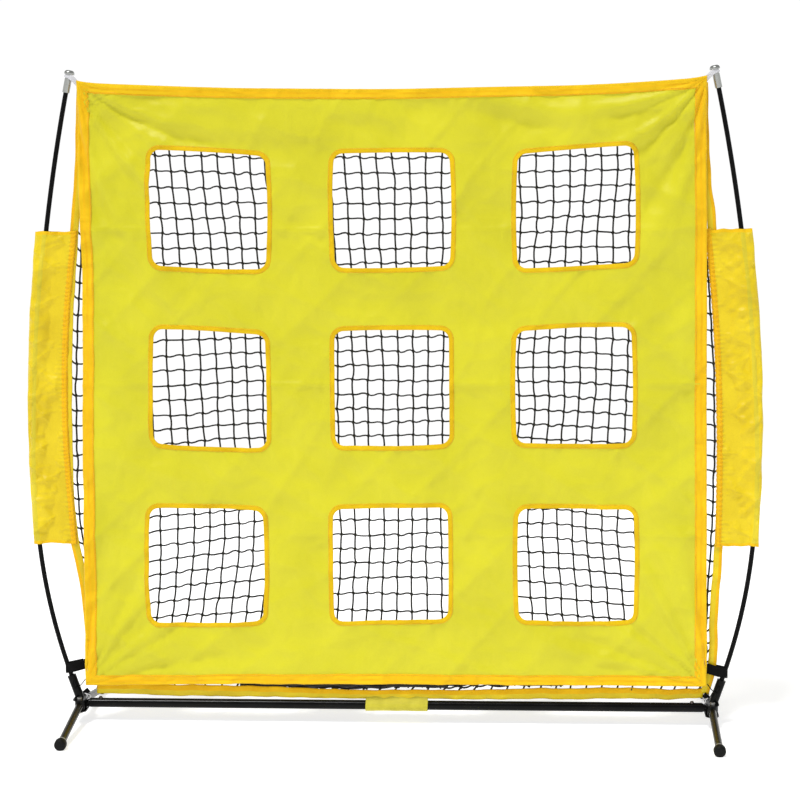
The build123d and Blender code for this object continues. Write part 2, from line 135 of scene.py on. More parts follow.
# ================================================================ small tools
def smooth(values, positions, at):
    """A smooth curve through values given at rising positions, read at new positions."""
    values, positions = np.asarray(values, float), np.asarray(positions, float)
    slopes = np.gradient(values, positions)
    at = np.clip(np.asarray(at, float), positions[0], positions[-1])
    i = np.clip(np.searchsorted(positions, at) - 1, 0, len(positions) - 2)
    h = positions[i + 1] - positions[i]
    t = (at - positions[i]) / h
    return ((2 * t**3 - 3 * t**2 + 1) * values[i] + (t**3 - 2 * t**2 + t) * h * slopes[i]
            + (3 * t**2 - 2 * t**3) * values[i + 1] + (t**3 - t**2) * h * slopes[i + 1])


def curve(pairs, at):
    """A smooth curve through (position, value) pairs, read at new positions."""
    return smooth([value for _, value in pairs], [position for position, _ in pairs], at)


def waves(x, z, length, seed, heading=0.0, spread=math.pi):
    """A smooth random relief of about unit height, made of waves of about one length."""
    dice = np.random.default_rng(seed)
    total = np.zeros(np.broadcast(x, z).shape)
    count = 12
    for _ in range(count):
        angle = heading + dice.uniform(-spread, spread)
        turn = 2 * math.pi / (length * dice.uniform(0.7, 1.5))
        total += np.sin(turn * (x * math.cos(angle) + z * math.sin(angle)) + dice.uniform(0, 7))
    return total / math.sqrt(count)


def creases(x, z, length, seed, heading=0.0, spread=math.pi):
    """A relief with sharp ridges, as crumpled cloth has, from 0 to 1."""
    return np.exp(-2.5 * np.abs(waves(x, z, length, seed, heading, spread)))


def mesh_piece(name, points, faces, materials, slots=None, even=True, solid=0.0):
    """A mesh object with smooth shading; solid gives cloth its thickness."""
    mesh = bpy.data.meshes.new(name)
    mesh.from_pydata([tuple(p) for p in points], [], [tuple(int(i) for i in f) for f in faces])
    mesh.polygons.foreach_set("use_smooth", [even] * len(mesh.polygons))
    if slots is not None:
        mesh.polygons.foreach_set("material_index", slots)
    piece = bpy.data.objects.new(name, mesh)
    bpy.context.scene.collection.objects.link(piece)
    for material in materials:
        mesh.materials.append(material)
    if solid:
        thick = piece.modifiers.new("thickness", "SOLIDIFY")
        thick.thickness, thick.offset = solid, 0.0
    mesh.update()
    return piece


def grid_faces(rows, columns, keep=None, close=False):
    """Quads between the points of a grid stored row by row."""
    wide = columns if close else columns - 1
    faces = []
    for r in range(rows - 1):
        for c in range(wide):
            if keep is None or keep[r, c]:
                d = (c + 1) % columns
                faces.append((r * columns + c, r * columns + d, (r + 1) * columns + d, (r + 1) * columns + c))
    return faces


def joined(parts):
    """One list of points and one of faces from several."""
    points, faces, start = [], [], 0
    for part_points, part_faces in parts:
        points.append(np.asarray(part_points))
        faces.extend([tuple(i + start for i in f) for f in part_faces])
        start += len(part_points)
    return np.concatenate(points), faces


def frames_along(path):
    """Unit tangents and two cross directions at each point of a path."""
    path = np.asarray(path)
    tangent = np.gradient(path, axis=0)
    tangent /= np.linalg.norm(tangent, axis=1)[:, None]
    guide = np.array([0.0, 1.0, 0.0]) if abs(tangent[0][1]) < 0.9 else np.array([1.0, 0.0, 0.0])
    side = np.cross(tangent, guide)
    side /= np.linalg.norm(side, axis=1)[:, None]
    return tangent, side, np.cross(side, tangent)


def tube(path, radius, around=6, caps=True):
    """Points and faces of a round strand along a path; radius may vary along it."""
    path = np.asarray(path)
    _, side, up = frames_along(path)
    radius = np.broadcast_to(radius, len(path))
    angles = np.arange(around) * 2 * math.pi / around
    ring = np.cos(angles)[None, :, None] * side[:, None] + np.sin(angles)[None, :, None] * up[:, None]
    points = (path[:, None] + radius[:, None, None] * ring).reshape(-1, 3)
    faces = grid_faces(len(path), around, close=True)
    if caps:
        faces.append(tuple(range(around))[::-1])
        faces.append(tuple(range((len(path) - 1) * around, len(path) * around)))
    return points, faces


def ribbon(centre, across, outward, profile):
    """A strip along a path: profile lists (share across, height outward) pairs, closed."""
    centre, across, outward = (np.asarray(v) for v in (centre, across, outward))
    profile = np.asarray(profile)
    points = (centre[:, None] + across[:, None] * profile[None, :, 0, None]
              + outward[:, None] * profile[None, :, 1, None]).reshape(-1, 3)
    return points, grid_faces(len(centre), len(profile), close=True)


def dashes(path, outward, pitch=0.006, long=0.0042, thick=0.0006):
    """Stitches: short raised threads along a path on a surface."""
    path, outward = np.asarray(path), np.asarray(outward)
    steps = np.r_[0, np.cumsum(np.linalg.norm(np.diff(path, axis=0), axis=1))]
    starts = np.arange(0.3 * pitch, steps[-1] - long, pitch)
    parts = []
    for begin in starts:
        along = np.array([begin, begin + long / 2, begin + long])
        middle = np.stack([np.interp(along, steps, path[:, k]) for k in range(3)], 1)
        lift = np.stack([np.interp(along, steps, outward[:, k]) for k in range(3)], 1)
        middle = middle + lift * thick * np.array([[0.1], [0.7], [0.1]])
        parts.append(tube(middle, thick * np.array([0.5, 1.0, 0.5]), around=4))
    return joined(parts)


# ================================================================ materials
def material(name):
    """A new node material: its nodes, its links and its Principled shader."""
    made = bpy.data.materials.new(name)
    made.use_nodes = True
    nodes, links = made.node_tree.nodes, made.node_tree.links
    return made, nodes, links, nodes["Principled BSDF"]


def place(nodes, links, scale=(1, 1, 1)):
    """Object coordinates, stretched by a scale."""
    where = nodes.new("ShaderNodeTexCoord")
    mapping = nodes.new("ShaderNodeMapping")
    mapping.inputs["Scale"].default_value = scale
    links.new(where.outputs["Object"], mapping.inputs["Vector"])
    return mapping.outputs["Vector"]


def noise(nodes, links, vector, scale, detail=3.0):
    texture = nodes.new("ShaderNodeTexNoise")
    texture.inputs["Scale"].default_value = scale
    texture.inputs["Detail"].default_value = detail
    links.new(vector, texture.inputs["Vector"])
    return texture.outputs["Fac"]


def ramp(nodes, links, factor, stops):
    """Colours along a factor: a list of (place, colour) stops."""
    node = nodes.new("ShaderNodeValToRGB")
    while len(node.color_ramp.elements) < len(stops):
        node.color_ramp.elements.new(0.5)
    for element, (at, colour) in zip(node.color_ramp.elements, stops):
        element.position = at
        element.color = (*colour, 1) if len(colour) == 3 else colour
    links.new(factor, node.inputs["Fac"])
    return node.outputs["Color"]


def maths(nodes, links, operation, *values):
    node = nodes.new("ShaderNodeMath")
    node.operation = operation
    for socket, value in zip(node.inputs, values):
        if isinstance(value, (int, float)):
            socket.default_value = value
        else:
            links.new(value, socket)
    return node.outputs["Value"]


def bump(nodes, links, shader, height, strength, distance, under=None):
    node = nodes.new("ShaderNodeBump")
    node.inputs["Strength"].default_value = strength
    node.inputs["Distance"].default_value = distance
    links.new(height, node.inputs["Height"])
    if under is not None:
        links.new(under, node.inputs["Normal"])
    links.new(node.outputs["Normal"], shader.inputs["Normal"])
    return node.outputs["Normal"]


def weave(nodes, links, vector, pitch):
    """Height of a plain weave in the XZ plane, with threads a pitch apart."""
    lines = []
    for direction in ("X", "Z"):
        wave = nodes.new("ShaderNodeTexWave")
        wave.bands_direction = direction
        wave.inputs["Scale"].default_value = math.pi / 10 / pitch
        wave.inputs["Distortion"].default_value = 0.4
        links.new(vector, wave.inputs["Vector"])
        lines.append(wave.outputs["Fac"])
    return maths(nodes, links, "MULTIPLY", *lines)


def cloth_material(name, light, dark, roughness=0.62, pitch=0.0011, sheen=0.25, glow=0.0, mottle=5.0,
                   shine=0.3):
    """Woven polyester: two close tones in soft patches, a plain weave and a little sheen."""
    made, nodes, links, shader = material(name)
    vector = place(nodes, links)
    patches = noise(nodes, links, vector, mottle, 4.0)
    grain = noise(nodes, links, vector, 260.0, 2.0)
    tone = maths(nodes, links, "ADD", maths(nodes, links, "MULTIPLY", patches, 0.8),
                 maths(nodes, links, "MULTIPLY", grain, 0.2))
    colour = ramp(nodes, links, tone, [(0.36, dark), (0.64, light)])
    links.new(colour, shader.inputs["Base Color"])
    shader.inputs["Roughness"].default_value = roughness
    shader.inputs["Sheen Weight"].default_value = sheen
    shader.inputs["Sheen Roughness"].default_value = 0.4
    shader.inputs["Specular IOR Level"].default_value = shine
    crumple = noise(nodes, links, vector, 34.0, 5.0)
    first = bump(nodes, links, shader, crumple, 0.35, 0.0012)
    bump(nodes, links, shader, weave(nodes, links, vector, pitch), 0.35, 0.00025, first)
    if glow:
        through = nodes.new("ShaderNodeBsdfTranslucent")
        links.new(colour, through.inputs["Color"])
        mix = nodes.new("ShaderNodeMixShader")
        mix.inputs["Fac"].default_value = glow
        links.new(shader.outputs["BSDF"], mix.inputs[1])
        links.new(through.outputs["BSDF"], mix.inputs[2])
        links.new(mix.outputs["Shader"], nodes["Material Output"].inputs["Surface"])
    return made


def webbing_material(name, light, dark, pitch=0.0016):
    made, nodes, links, shader = material(name)
    vector = place(nodes, links)
    ribs = weave(nodes, links, vector, pitch)
    links.new(ramp(nodes, links, ribs, [(0.1, dark), (0.7, light)]), shader.inputs["Base Color"])
    shader.inputs["Roughness"].default_value = 0.75
    shader.inputs["Specular IOR Level"].default_value = 0.12
    bump(nodes, links, shader, ribs, 0.7, 0.0005)
    return made


def painted_material(name, colour, roughness, metal=0.0, coat=0.1, peel=0.00012, scuff=0.08, shine=0.25):
    """Gloss powder coat or moulded skin, with orange peel and lightly scuffed patches."""
    made, nodes, links, shader = material(name)
    vector = place(nodes, links)
    patch = noise(nodes, links, vector, 14.0, 6.0)
    worn = tuple(min(1.0, c + scuff * 0.12) for c in colour)
    links.new(ramp(nodes, links, patch, [(0.45, colour), (0.8, worn)]), shader.inputs["Base Color"])
    rough = nodes.new("ShaderNodeMapRange")
    rough.inputs["To Min"].default_value = roughness * 0.8
    rough.inputs["To Max"].default_value = roughness * 1.35
    links.new(patch, rough.inputs["Value"])
    links.new(rough.outputs["Result"], shader.inputs["Roughness"])
    shader.inputs["Metallic"].default_value = metal
    shader.inputs["Specular IOR Level"].default_value = shine
    shader.inputs["Coat Weight"].default_value = coat
    shader.inputs["Coat Roughness"].default_value = 0.12
    bump(nodes, links, shader, noise(nodes, links, vector, 420.0, 2.0), 0.25, peel)
    return made


def drawn_material(name, colour, roughness, metal=0.0, grain=(90, 90, 3), shine=0.5):
    """Drawn rod, rubber or turned metal: fine marks along or around the piece."""
    made, nodes, links, shader = material(name)
    vector = place(nodes, links, grain)
    streak = noise(nodes, links, vector, 12.0, 5.0)
    bright = tuple(min(1.0, c * 1.25 + 0.004) for c in colour)
    dull = tuple(c * 0.8 for c in colour)
    links.new(ramp(nodes, links, streak, [(0.35, dull), (0.65, bright)]), shader.inputs["Base Color"])
    shader.inputs["Metallic"].default_value = metal
    shader.inputs["Roughness"].default_value = roughness
    shader.inputs["Specular IOR Level"].default_value = shine
    bump(nodes, links, shader, streak, 0.2, 0.0002)
    return made


def twine_material():
    """Black twisted twine: slanted lays along each strand."""
    made, nodes, links, shader = material("net_twine_black")
    vector = place(nodes, links)
    wave = nodes.new("ShaderNodeTexWave")
    wave.bands_direction = "DIAGONAL"
    wave.inputs["Scale"].default_value = math.pi / 10 / 0.0022
    links.new(vector, wave.inputs["Vector"])
    lays = [(0.2, (0.002, 0.002, 0.003)), (0.9, (0.010, 0.010, 0.014))]
    links.new(ramp(nodes, links, wave.outputs["Fac"], lays), shader.inputs["Base Color"])
    shader.inputs["Roughness"].default_value = 0.55
    bump(nodes, links, shader, wave.outputs["Fac"], 0.6, 0.0004)
    return made


YELLOW = cloth_material("panel_yellow", (0.745, 0.700, 0.012), (0.665, 0.625, 0.008), roughness=0.44,
                        glow=0.18, shine=0.45)
SLEEVE_YELLOW = cloth_material("sleeve_yellow", (0.765, 0.585, 0.008), (0.64, 0.47, 0.004), roughness=0.42,
                               sheen=0.2, mottle=9.0, shine=0.28)
# painted shade: a darker, greener copy of the sleeve cloth for the band where the pole inside darkens the
# front
SLEEVE_SHADE = cloth_material("sleeve_pole_painted_shade", (0.69, 0.56, 0.020), (0.56, 0.46, 0.014), roughness=0.5,
                              mottle=9.0)
AMBER = cloth_material("binding_amber", (0.83, 0.49, 0.006), (0.74, 0.41, 0.004), pitch=0.0014, mottle=16.0,
                       shine=0.12)
AMBER_LIGHT = cloth_material("binding_light", (0.83, 0.535, 0.008), (0.75, 0.45, 0.005), pitch=0.0014,
                             mottle=11.0, shine=0.12)
AMBER_DARK = cloth_material("window_amber", (0.75, 0.505, 0.005), (0.63, 0.40, 0.003), pitch=0.0014,
                            mottle=14.0, shine=0.10)
TAB_YELLOW = cloth_material("tab_yellow", (0.56, 0.50, 0.036), (0.46, 0.41, 0.024), pitch=0.0018, mottle=30.0)
THREAD = cloth_material("stitch_thread", (0.84, 0.47, 0.02), (0.70, 0.36, 0.01), pitch=0.0005, mottle=60.0)
BLACK_WEBBING = webbing_material("webbing_black", (0.0035, 0.0035, 0.0038), (0.001, 0.001, 0.001))
WHITE_WEBBING = webbing_material("webbing_white", (0.82, 0.82, 0.84), (0.55, 0.55, 0.58), pitch=0.0012)
ELASTIC = webbing_material("elastic_black", (0.004, 0.004, 0.004), (0.001, 0.001, 0.001), pitch=0.0009)
TWINE = twine_material()
STEEL = painted_material("black_powder_coat", (0.0015, 0.0015, 0.0014), 0.17, coat=0.0, scuff=0.03,
                         shine=0.11)
LEG_STEEL = painted_material("leg_powder_coat", (0.016, 0.014, 0.007), 0.24, metal=0.35, coat=0.0, scuff=0.05,
                             shine=0.2)
PLASTIC = painted_material("black_moulding", (0.003, 0.003, 0.003), 0.42, coat=0.0, peel=0.0003, scuff=0.03,
                           shine=0.12)
RUBBER = drawn_material("foot_rubber", (0.003, 0.0033, 0.003), 0.55, grain=(40, 40, 40), shine=0.12)
GREY = painted_material("grey_collar", (0.24, 0.23, 0.21), 0.4)
FIBREGLASS = drawn_material("fibreglass_black", (0.0018, 0.0018, 0.0020), 0.28, shine=0.06)
BRIGHT = drawn_material("bright_aluminium", (0.40, 0.41, 0.39), 0.30, metal=1.0, grain=(20, 20, 300))
ZINC = drawn_material("zinc_steel", (0.42, 0.41, 0.39), 0.36, metal=1.0, grain=(60, 60, 60))
BUTTON = drawn_material("button_steel", (0.10, 0.085, 0.08), 0.40, metal=0.9, grain=(60, 60, 60))


def dress_frame():
    """Every carried-over CAD node gets its material."""
    looks = {"black_steel": STEEL, "black_plastic": PLASTIC, "foot_rubber": RUBBER, "grey_plastic": GREY,
             "zinc_steel": ZINC, "button_steel": BUTTON, "black_fibreglass": FIBREGLASS, "aluminium": BRIGHT,
             "elastic_cord": ELASTIC}
    for part in frame["record"]["subparts"]:
        node = frame["nodes"][part["node"]]
        look = looks.get(part["material_slot"], STEEL)
        if part["node"].startswith("leg_tube"):
            look = LEG_STEEL
        node.data.materials.clear()
        node.data.materials.append(look)


def press_springs():
    """Gives each hairpin spring its own copy of its mesh."""
    for _, name in SIDES:
        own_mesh(frame["nodes"][f"snap_spring_{name}"])


# ================================================================ target panel
def panel_relief(x, t):
    """How far the hanging panel stands forward: folds from its corners, creases and crumples."""
    relief = np.zeros(np.broadcast(x, t).shape)
    for side, top, high, reach, count in CORNER_FOLDS:
        dx = np.maximum(PANEL_HALF - side * x, 0)
        dz = np.maximum(PANEL_TALL - t if top else t, 0)
        far = np.hypot(dx, dz)
        turn = np.arctan2(dz, dx) + (0.55 if top else 0.1) * far
        folds = np.sin(count * turn + side) + 0.6 * np.sin(1.7 * count * turn + 2.0 + top)
        fade = far / (far + 0.08) * np.exp(-((far / reach) ** 2))
        relief += high * fade * folds * np.clip(dz / 0.05, 0.3, 1)
    swag = np.exp(-(((PANEL_TALL - t - 0.085) / 0.06) ** 2))
    relief += 0.0045 * swag * waves(x, 4.0 * t, 0.34, 3, 0.3, 0.5)
    for k, height in enumerate(FOLD_HEIGHTS):
        along = 0.45 + 0.55 * np.abs(waves(x, 0 * t, 0.5, 20 + k))
        relief += 0.0075 * along * np.exp(-np.abs(t - height) / 0.011)
    relief += 0.0040 * waves(x, t, 0.30, 1) + 0.0016 * waves(x, t, 0.11, 2)
    relief += 0.0066 * (creases(x, t, 0.30, 4, 0.9, 0.5) + creases(x, t, 0.30, 5, 2.3, 0.5))
    relief += 0.0038 * creases(x, t, 0.13, 6) + 0.0019 * creases(x, t, 0.06, 7)
    return relief


def panel_place(x, t):
    """Where a point of the flat panel hangs: x from the middle, t up from the bottom hem."""
    x, t = np.asarray(x, float), np.asarray(t, float)
    share = t / PANEL_TALL
    across = x * (1 - PANEL_NARROWING * share) + 0.0012 * waves(x, t, 0.5, 8)
    across = across + LEFT_BOW * np.clip(-x / PANEL_HALF, 0, 1) ** 3 * np.exp(-(((share - 0.62) / 0.26) ** 2))
    sag = PANEL_SAG * (1 - (x / PANEL_HALF) ** 2) * np.clip(share, 0, 1) ** 5
    tilt = HEM_TILT * x / PANEL_HALF * (1 - np.clip(share, 0, 1)) ** 3
    tilt = tilt + HEM_ARCH * (1 - (x / PANEL_HALF) ** 2) * (1 - np.clip(share, 0, 1)) ** 6
    ear = CORNER_LIFT * np.exp(-np.clip(PANEL_HALF - np.abs(x), 0, 1) / 0.030) * np.clip(share, 0, 1) ** 12
    up = PANEL_LOW.z + t - sag + tilt + ear + 0.0014 * waves(x, t, 0.45, 9)
    return np.stack([across, PANEL_Y + 0.004 - panel_relief(x, t), up], -1)


def window_round(p, q, half=WINDOW_HALF, corner=WINDOW_CORNER, shape=(0, 0, 0, 0, 0, 0)):
    """Moves a point on a square's edge to the rounded, bowed and skewed edge of a window."""
    straight = half - corner
    ex, ez = np.abs(p) - straight, np.abs(q) - straight
    in_corner = (ex > 0) & (ez > 0)
    turn = np.arctan2(ez, ex)
    rx = np.where(in_corner, straight + corner * np.cos(turn), np.abs(p))
    rz = np.where(in_corner, straight + corner * np.sin(turn), np.abs(q))
    rx, rz = np.sign(p) * rx, np.sign(q) * rz
    shift_x, shift_z, top, bottom, side_bow, top_bow = (0.001 * v for v in shape)
    slope = np.where(rz > 0, top, bottom) * np.clip(np.abs(rz) / half, 0, 1)
    moved_z = rz + shift_z + slope * rx / (1.4 * half) + top_bow * rz / half * (1 - (rx / half) ** 2)
    return rx + shift_x + side_bow * rx / half * (1 - (rz / half) ** 2), moved_z


def window_centres():
    return [(i * WINDOW_PITCH[0], WINDOW_ROW + j * WINDOW_PITCH[1], WINDOWS[i, j]) for i, j in WINDOWS]


def lines_between(breaks, step):
    """Grid lines that land on every break and are about a step apart."""
    out = []
    for low, high in zip(breaks[:-1], breaks[1:]):
        out.extend(np.linspace(low, high, max(2, round((high - low) / step) + 1))[:-1])
    return np.array(out + [breaks[-1]])


def panel_cloth():
    """The panel's cloth with its nine openings, as one sheet."""
    step = 0.0085
    hem = 0.6 * HEM_W       # the cloth ends inside its folded binding
    x_breaks, t_breaks = [-PANEL_HALF + hem], [hem]
    for i in (-1, 0, 1):
        x_breaks += [i * WINDOW_PITCH[0] - WINDOW_HALF, i * WINDOW_PITCH[0] + WINDOW_HALF]
        row_t = WINDOW_ROW + i * WINDOW_PITCH[1]
        t_breaks += [row_t - WINDOW_HALF, row_t + WINDOW_HALF]
    xs = lines_between(x_breaks + [PANEL_HALF - hem], step)
    ts = lines_between(sorted([*t_breaks, *FOLD_HEIGHTS, PANEL_TALL - hem]), step)
    x, t = np.meshgrid(xs, ts)
    middle_x, middle_t = (xs[:-1] + xs[1:]) / 2, (ts[:-1] + ts[1:]) / 2
    keep = np.ones((len(ts) - 1, len(xs) - 1), bool)
    spread = 0.06
    flat_x, flat_t = x.copy(), t.copy()
    for cx, ct, shape in window_centres():
        inside = (np.abs(middle_x - cx)[None] < WINDOW_HALF) & (np.abs(middle_t - ct)[:, None] < WINDOW_HALF)
        keep &= ~inside
        p, q = x - cx, t - ct
        reach = np.maximum(np.abs(p), np.abs(q))
        share = np.clip(1 - (reach - WINDOW_HALF) / spread, 0, 1) ** 2 * (reach > WINDOW_HALF - 1e-9)
        scale = WINDOW_HALF / np.maximum(reach, 1e-9)
        on_p, on_q = p * scale, q * scale
        to_p, to_q = window_round(on_p, on_q, shape=shape)
        flat_x += share * (to_p - on_p)
        flat_t += share * (to_q - on_q)
    points = panel_place(flat_x, flat_t).reshape(-1, 3)
    return mesh_piece("panel_cloth", points, grid_faces(len(ts), len(xs), keep), [YELLOW], solid=CLOTH_T)


def on_panel(path_x, path_t):
    """Points of a line drawn on the panel, and the way the cloth faces there."""
    centre = panel_place(path_x, path_t)
    small = 0.002
    slope_x = panel_place(path_x + small, path_t) - panel_place(path_x - small, path_t)
    slope_t = panel_place(path_x, path_t + small) - panel_place(path_x, path_t - small)
    forward = np.cross(slope_x, slope_t)
    forward /= np.linalg.norm(forward, axis=1)[:, None]
    forward *= np.sign(-forward[:, 1])[:, None]
    return centre, forward


def square_path(half, corner, shape, step=0.006):
    """A closed walk round a window, anticlockwise as seen from the front."""
    count = 4 * round(2 * WINDOW_HALF / step)
    s = np.arange(count) * 8 * half / count
    side, along = (s // (2 * half)).astype(int), s % (2 * half) - half
    p = np.choose(side, [along, np.full(count, half), -along, np.full(count, -half)])
    q = np.choose(side, [np.full(count, -half), along, np.full(count, half), -along])
    return window_round(p, q, half, corner, shape)


def hem_band(x_from, t_from, x_to, t_to, width, lift, step=0.006):
    """One side of the perimeter binding: a closed band folded over the panel's edge."""
    long = math.hypot(x_to - x_from, t_to - t_from)
    count = int(long / step)
    share = np.linspace(0, 1, count)
    px, pt = x_from + (x_to - x_from) * share, t_from + (t_to - t_from) * share
    in_x, in_t = -(t_to - t_from) / long, (x_to - x_from) / long
    front = np.linspace(0, width, HEM_STRIPS)
    rolled = lift * (1 + 0.7 * np.exp(-((front - 0.003) / 0.003) ** 2))
    section = [(at, high) for at, high in zip(front, rolled)] + [(at, -0.0012) for at in front[::-1]]
    section[0] = (-0.0005, 0.0)
    rows = []
    for across, height in section:
        end_x = PANEL_HALF - across * (in_x == 0)
        qx = np.clip(px + in_x * across, -end_x, end_x)
        qt = np.clip(pt + in_t * across, across * (in_t == 0), PANEL_TALL - across * (in_t == 0))
        spot, forward = on_panel(qx, qt)
        pucker = 0.0004 * waves(px + pt, 0 * px, 0.014, 15) * (across > 0.002)
        rows.append(spot + forward * (height + pucker * (height > 0))[:, None])
    return np.stack(rows, 1).reshape(-1, 3), grid_faces(count, len(section), close=True)


def seam_line(x_from, t_from, x_to, t_to, inset, lift):
    """A line of stitches along one side of the panel."""
    long = math.hypot(x_to - x_from, t_to - t_from)
    share = np.linspace(0, 1, int(long / 0.006))
    in_x, in_t = -(t_to - t_from) / long, (x_to - x_from) / long
    qx = np.clip(x_from + (x_to - x_from) * share + in_x * inset, -PANEL_HALF + inset, PANEL_HALF - inset)
    qt = np.clip(t_from + (t_to - t_from) * share + in_t * inset, inset, PANEL_TALL - inset)
    spot, forward = on_panel(qx, qt)
    return dashes(spot + forward * lift, forward)


def panel_bindings():
    """Perimeter binding with strips of painted shade across its fold and along its seam, nine window
    bindings, and their stitches.
    """
    half, tall = PANEL_HALF, PANEL_TALL
    sides = [(-half, 0.0, half, 0.0), (half, 0.0, half, tall), (half, tall, -half, tall),
             (-half, tall, -half, 0.0)]
    widths = (HEM_W, BINDING_W, HEM_W, BINDING_W)
    hems = [hem_band(*side, width, 0.0021) for side, width in zip(sides, widths)]
    thread = [seam_line(*side, width - 0.003, 0.0027) for side, width in zip(sides, widths)]
    rings = []
    inside, profile = WINDOW_BINDING_W - 0.002, [
        (-0.0022, 0.0), (-0.0016, 0.0016), (0.001, 0.0021), (WINDOW_BINDING_W * 0.6, 0.0019),
        (WINDOW_BINDING_W - 0.0012, 0.0016), (WINDOW_BINDING_W, 0.0003), (WINDOW_BINDING_W, -0.0006),
        (0.001, -0.0022), (-0.0016, -0.0014)]
    for cx, ct, shape in window_centres():
        rows = []
        for across, height in profile:
            p, q = square_path(WINDOW_HALF + across, WINDOW_CORNER + across, shape)
            spot, forward = on_panel(cx + p, ct + q)
            ripple = 0.0003 * np.sin(np.arange(len(p)) * 2.1) * (height > 0.001)
            rows.append(spot + forward * (height + ripple)[:, None])
        points = np.stack(rows, 1)
        rings.append((np.concatenate([points, points[:1]]).reshape(-1, 3),
                      grid_faces(len(points) + 1, len(profile), close=True)))
        p, q = square_path(WINDOW_HALF + inside, WINDOW_CORNER + inside, shape)
        spot, forward = on_panel(cx + p, ct + q)
        around, out = np.concatenate([spot, spot[:1]]), np.concatenate([forward, forward[:1]])
        thread.append(dashes(around + out * 0.0017, out))
    perimeter, faces = joined(hems)
    # painted shade: the binding's darker strips take the deeper amber
    slots = [1 if k % (2 * HEM_STRIPS) in HEM_PAINTED_SHADE else 0 for k in range(len(faces))]
    binding = mesh_piece("panel_edge_binding", perimeter, faces, [AMBER_LIGHT, AMBER], slots)
    windows = mesh_piece("window_edge_bindings", *joined(rings), [AMBER_DARK])
    stitches = mesh_piece("panel_stitches", *joined(thread), [THREAD])
    return binding, windows, stitches


# ================================================================ ball net
def border_x(height, side):
    """Distance of a side border's middle line from the net's middle."""
    return curve(BORDERS[side], height)


def net_knot(column, row):
    """Where the knot of a column (from the middle) and a row (from the bottom) hangs."""
    column, row = np.asarray(column, float), np.asarray(row, float)
    rows = [r for r, _, _ in NET_LINE]
    share = np.abs(column) / (NET_SIDE + 0.4)
    deep = smooth([y for _, y, _ in NET_LINE], rows, row)
    high = smooth([z for _, _, z in NET_LINE], rows, row)
    rise = curve(NET_EDGE_RISE, row)
    pile = np.clip(1 - np.abs(row - 2) / 2.2, 0, 1)
    heaped = np.clip(2.4 - 4.4 * np.abs(column + 1.5) / NET_SIDE, 0, 1)
    z = high + rise * share ** 2 * (1 - pile) + pile * (1 - heaped) * 0.028
    y = 0.006 + (deep - 0.006) * (1 - share ** 4)
    mesh = curve(NET_MESH, z)
    side = np.where(column < 0, -1, 1)
    edge = np.where(side < 0, border_x(z, -1), border_x(z, 1)) - BORDER_W / 2 - EDGE_ROPE
    stretch = np.clip((np.abs(column) - 12) / (NET_SIDE - 12), 0, 1) ** 2
    x = column * mesh + side * (edge - NET_SIDE * mesh) * stretch
    loose = 1 - stretch
    x = x + 0.0022 * loose * waves(column / 20, row / 20, 0.35, 40)
    x = x + HEM_SLANT * np.clip(1 - np.abs(row - 1), 0, 1)
    z = z + 0.0022 * loose * waves(column / 20, row / 20, 0.30, 41)
    return np.stack([x, y, z], -1)


def strand(a, b, bow, steps, radius, around=5, caps=False):
    """A strand between two knots; bow maps shares along it to offsets."""
    share = np.linspace(0, 1, steps + 1)
    path = a + (b - a) * share[:, None] + bow(share)
    return tube(path, radius, around, caps)


def tie_sag(share):
    return np.outer(np.sin(math.pi * share), (0, 0, -0.003))


def straight(share):
    return np.zeros((len(share), 3))


